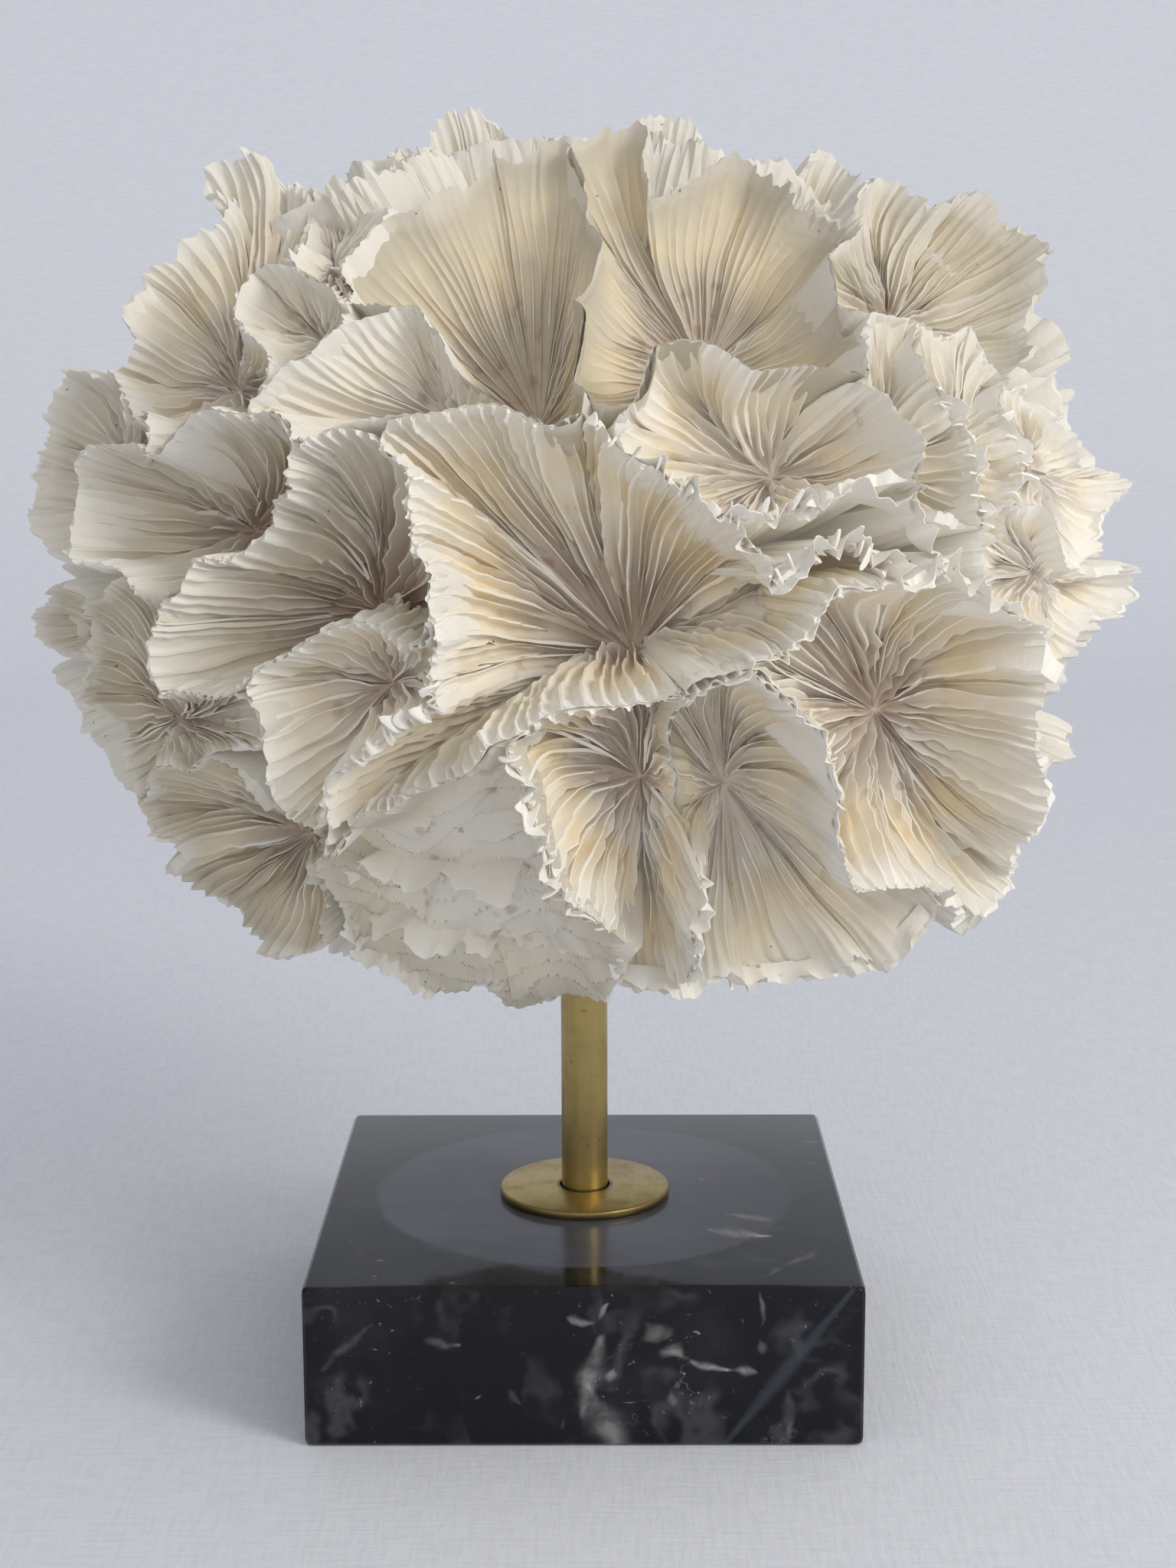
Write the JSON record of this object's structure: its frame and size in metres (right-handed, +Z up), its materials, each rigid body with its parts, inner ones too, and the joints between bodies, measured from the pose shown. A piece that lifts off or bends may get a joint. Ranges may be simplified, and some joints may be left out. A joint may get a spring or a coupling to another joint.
{
  "type": "mounted mushroom coral",
  "caption": "Bleached stony coral of ruffled fan-shaped cups, shown on a brass rod and disc over a square base of polished black marble.",
  "frame": {"origin": "Centre of the flat underside of the marble base.", "axes": "+Z up along the brass rod, the pictured side faces -Y, +X to the right in the picture."},
  "size_m": [0.2088, 0.1744, 0.2371],
  "materials": {
    "marble": "polished",
    "brass": "satin",
    "coral": "matte"
  },
  "bodies": {
    "root": {"marble_base": "marble", "brass_disc": "brass", "brass_rod": "brass", "coral": "coral"}
  },
  "joints": []
}
